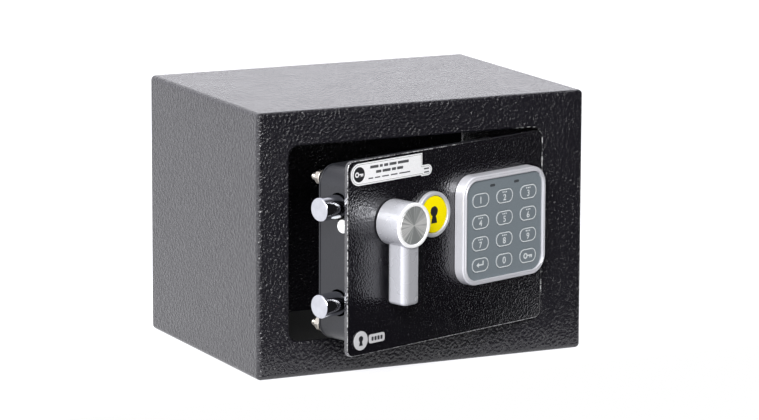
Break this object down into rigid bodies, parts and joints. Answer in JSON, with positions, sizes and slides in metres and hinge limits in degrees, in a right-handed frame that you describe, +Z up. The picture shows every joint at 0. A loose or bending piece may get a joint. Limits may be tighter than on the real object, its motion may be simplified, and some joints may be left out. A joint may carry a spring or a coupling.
{
  "type": "in room safe",
  "caption": "Compact in-room safe: black steel cabinet with a keypad door, turning handle, two sliding bolts and a covered key lock.",
  "frame": {"origin": "centre of the cabinet's flat underside, the face it stands on (mount base)", "axes": "+Z up, -Y towards the user (the door side), +Y out of the back (mount back), +X to the user's right, the hinge side"},
  "size_m": [0.23, 0.2395, 0.17],
  "materials": {
    "powder_coat": "textured black powder coat, semi-gloss",
    "case_paint": "textured black paint, semi-gloss",
    "zinc": "zinc plated",
    "steel": "plain",
    "chrome": "polished",
    "silver_paint": "satin silver",
    "spun_aluminium": "radially brushed",
    "panel_plastic": "matt grey",
    "key_plastic": "matt grey with a pale outline",
    "yellow_plastic": "gloss yellow",
    "label_foil": "silver foil label",
    "white_nylon": "white nylon",
    "black_plastic": "moulded black",
    "coil": "enamelled copper winding",
    "board": "green circuit board",
    "cell_jacket": "printed cell jacket",
    "brass": "machined",
    "mat_felt": "black felt",
    "red_plastic": "moulded red"
  },
  "bodies": {
    "cabinet": {"cabinet_shell": "powder_coat", "back_panel": "powder_coat", "floor_mat": "mat_felt", "hinge_bracket_lower": "steel", "hinge_bracket_upper": "steel"},
    "door": {"door_plate": "powder_coat", "bolt_case": "case_paint", "rear_cover": "case_paint", "cover_stud_1": "zinc", "cover_stud_2": "zinc", "cover_stud_3": "zinc", "cover_stud_4": "zinc", "hinge_arm_lower": "steel", "hinge_arm_upper": "steel", "guide_bush": "white_nylon", "spindle_bush": "white_nylon", "lock_housing": "zinc", "lock_nut": "zinc", "keypad_bezel": "silver_paint", "keypad_panel": "panel_plastic", "keypad_board": "board", "keypad_cable": "black_plastic", "solenoid_frame": "zinc", "solenoid_coil": "coil", "battery_tray": "black_plastic", "battery_1": "cell_jacket", "battery_2": "cell_jacket", "battery_3": "cell_jacket", "battery_4": "cell_jacket", "guide_post_lower": "steel", "guide_post_upper": "steel", "notice_label": "label_foil", "badge_disc": "silver_paint", "badge_bar": "silver_paint"},
    "handle": {"knob": "silver_paint", "knob_cap": "spun_aluminium", "spindle": "steel", "drive_cam": "zinc"},
    "bolts": {"bolt_lower": "chrome", "bolt_upper": "chrome", "bolt_carriage": "zinc"},
    "lock_core": {"lock_plug": "brass", "lock_cam": "zinc"},
    "lock_cover": {"cover_ring": "silver_paint", "cover_insert": "yellow_plastic"},
    "plunger": {"plunger": "steel"},
    "battery_lid": {"battery_lid": "black_plastic"},
    "reset_button": {"reset_button": "red_plastic"},
    "key_1": {"key_1": "key_plastic"},
    "key_2": {"key_2": "key_plastic"},
    "key_3": {"key_3": "key_plastic"},
    "key_4": {"key_4": "key_plastic"},
    "key_5": {"key_5": "key_plastic"},
    "key_6": {"key_6": "key_plastic"},
    "key_7": {"key_7": "key_plastic"},
    "key_8": {"key_8": "key_plastic"},
    "key_9": {"key_9": "key_plastic"},
    "key_enter": {"key_enter": "key_plastic"},
    "key_0": {"key_0": "key_plastic"},
    "key_lock": {"key_lock": "key_plastic"}
  },
  "joints": [
    {"name": "door_hinge", "type": "hinge", "parent": "cabinet", "child": "door", "pos_m": [0.0878, -0.08, 0.085], "axis": [0, 0, 1], "range_deg": [-19, 75]},
    {"name": "handle_turn", "type": "hinge", "parent": "door", "child": "handle", "pos_m": [-0.04484, -0.13096, 0.1048], "axis": [-0.3256, 0.9455, 0], "range_deg": [0, 70]},
    {"name": "bolt_slide", "type": "slide", "parent": "door", "child": "bolts", "axis": [0.9455, 0.3256, 0], "range_m": [0, 0.0156]},
    {"name": "key_turn", "type": "hinge", "parent": "door", "child": "lock_core", "pos_m": [-0.01174, -0.11956, 0.1048], "axis": [0.3256, -0.9455, 0], "range_deg": [0, 90]},
    {"name": "lock_cover_pull", "type": "slide", "parent": "door", "child": "lock_cover", "axis": [0.3256, -0.9455, 0], "range_m": [0, 0.012]},
    {"name": "plunger_slide", "type": "slide", "parent": "door", "child": "plunger", "axis": [0, 0, 1], "range_m": [0, 0.006]},
    {"name": "battery_lid_pull", "type": "slide", "parent": "door", "child": "battery_lid", "axis": [-0.3256, 0.9455, 0], "range_m": [0, 0.012]},
    {"name": "reset_press", "type": "slide", "parent": "door", "child": "reset_button", "axis": [0.3256, -0.9455, 0], "range_m": [0, 0.0015], "stiffness_N_per_m": 300},
    {"name": "key_1_press", "type": "slide", "parent": "door", "child": "key_1", "axis": [-0.3256, 0.9455, 0], "range_m": [0, 0.0005], "stiffness_N_per_m": 300},
    {"name": "key_2_press", "type": "slide", "parent": "door", "child": "key_2", "axis": [-0.3256, 0.9455, 0], "range_m": [0, 0.0005], "stiffness_N_per_m": 300},
    {"name": "key_3_press", "type": "slide", "parent": "door", "child": "key_3", "axis": [-0.3256, 0.9455, 0], "range_m": [0, 0.0005], "stiffness_N_per_m": 300},
    {"name": "key_4_press", "type": "slide", "parent": "door", "child": "key_4", "axis": [-0.3256, 0.9455, 0], "range_m": [0, 0.0005], "stiffness_N_per_m": 300},
    {"name": "key_5_press", "type": "slide", "parent": "door", "child": "key_5", "axis": [-0.3256, 0.9455, 0], "range_m": [0, 0.0005], "stiffness_N_per_m": 300},
    {"name": "key_6_press", "type": "slide", "parent": "door", "child": "key_6", "axis": [-0.3256, 0.9455, 0], "range_m": [0, 0.0005], "stiffness_N_per_m": 300},
    {"name": "key_7_press", "type": "slide", "parent": "door", "child": "key_7", "axis": [-0.3256, 0.9455, 0], "range_m": [0, 0.0005], "stiffness_N_per_m": 300},
    {"name": "key_8_press", "type": "slide", "parent": "door", "child": "key_8", "axis": [-0.3256, 0.9455, 0], "range_m": [0, 0.0005], "stiffness_N_per_m": 300},
    {"name": "key_9_press", "type": "slide", "parent": "door", "child": "key_9", "axis": [-0.3256, 0.9455, 0], "range_m": [0, 0.0005], "stiffness_N_per_m": 300},
    {"name": "key_enter_press", "type": "slide", "parent": "door", "child": "key_enter", "axis": [-0.3256, 0.9455, 0], "range_m": [0, 0.0005], "stiffness_N_per_m": 300},
    {"name": "key_0_press", "type": "slide", "parent": "door", "child": "key_0", "axis": [-0.3256, 0.9455, 0], "range_m": [0, 0.0005], "stiffness_N_per_m": 300},
    {"name": "key_lock_press", "type": "slide", "parent": "door", "child": "key_lock", "axis": [-0.3256, 0.9455, 0], "range_m": [0, 0.0005], "stiffness_N_per_m": 300}
  ],
  "couplings": [
    {"joint": "bolt_slide", "follows": "handle_turn", "m_per_rad": 0.012687}
  ]
}
